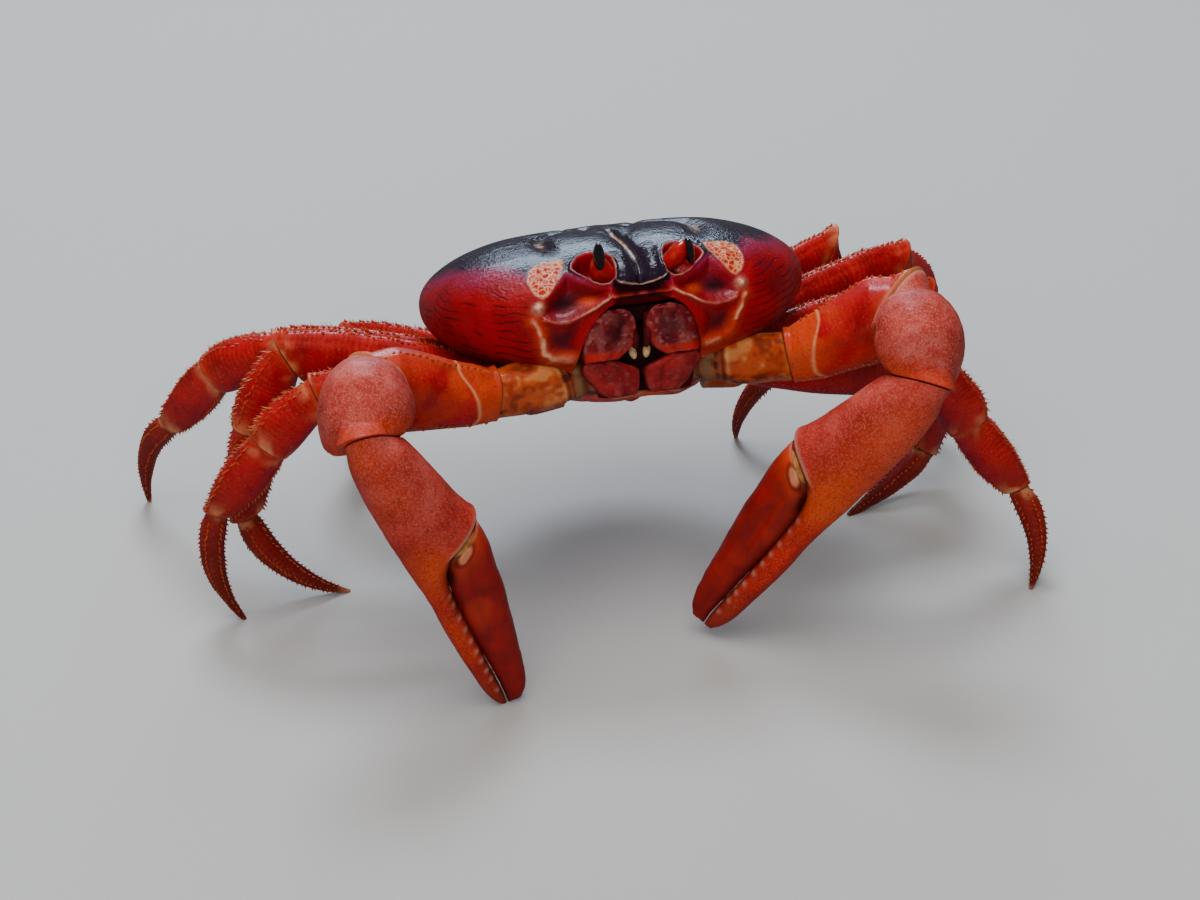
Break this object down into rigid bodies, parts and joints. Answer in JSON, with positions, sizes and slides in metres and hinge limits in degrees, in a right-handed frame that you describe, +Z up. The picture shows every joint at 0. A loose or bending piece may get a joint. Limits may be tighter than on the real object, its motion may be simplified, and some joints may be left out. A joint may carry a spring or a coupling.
{
  "type": "red land crab",
  "caption": "Life-size land crab with a broad swollen shell, two heavy claws held in front and spined walking legs, standing still on the floor.",
  "frame": {"origin": "middle of the footprint's box, on the floor the crab stands on", "axes": "+Z up from the floor, the crab faces -Y, its left side is towards +X"},
  "size_m": [0.1742, 0.1158, 0.0825],
  "materials": {
    "shell": "glossy purple-black above, deep red at the sides",
    "underside": "satin maroon and orange",
    "mouth": "dusty maroon",
    "eye": "glossy red stalk with a black cornea",
    "leg": "glossy red with amber spines",
    "claw": "dusty granular pink-red",
    "finger": "deep red with pale teeth"
  },
  "bodies": {
    "root": {"carapace": "shell", "sternum": "underside", "abdomen": "underside", "mouth_frame": "mouth", "left_eye": "eye", "left_maxilliped_merus": "mouth", "left_maxilliped_ischium": "mouth", "left_claw_basis": "underside", "left_claw_merus": "leg", "left_claw_carpus": "claw", "left_claw_palm": "claw", "left_claw_finger": "finger", "left_leg_1_coxa": "underside", "left_leg_1_merus": "leg", "left_leg_1_carpus": "leg", "left_leg_1_propodus": "leg", "left_leg_1_dactylus": "leg", "left_leg_2_coxa": "underside", "left_leg_2_merus": "leg", "left_leg_2_carpus": "leg", "left_leg_2_propodus": "leg", "left_leg_2_dactylus": "leg", "left_leg_3_coxa": "underside", "left_leg_3_merus": "leg", "left_leg_3_carpus": "leg", "left_leg_3_propodus": "leg", "left_leg_3_dactylus": "leg", "left_leg_4_coxa": "underside", "left_leg_4_merus": "leg", "left_leg_4_carpus": "leg", "left_leg_4_propodus": "leg", "left_leg_4_dactylus": "leg", "right_eye": "eye", "right_maxilliped_merus": "mouth", "right_maxilliped_ischium": "mouth", "right_claw_basis": "underside", "right_claw_merus": "leg", "right_claw_carpus": "claw", "right_claw_palm": "claw", "right_claw_finger": "finger", "right_leg_1_coxa": "underside", "right_leg_1_merus": "leg", "right_leg_1_carpus": "leg", "right_leg_1_propodus": "leg", "right_leg_1_dactylus": "leg", "right_leg_2_coxa": "underside", "right_leg_2_merus": "leg", "right_leg_2_carpus": "leg", "right_leg_2_propodus": "leg", "right_leg_2_dactylus": "leg", "right_leg_3_coxa": "underside", "right_leg_3_merus": "leg", "right_leg_3_carpus": "leg", "right_leg_3_propodus": "leg", "right_leg_3_dactylus": "leg", "right_leg_4_coxa": "underside", "right_leg_4_merus": "leg", "right_leg_4_carpus": "leg", "right_leg_4_propodus": "leg", "right_leg_4_dactylus": "leg"}
  },
  "joints": []
}
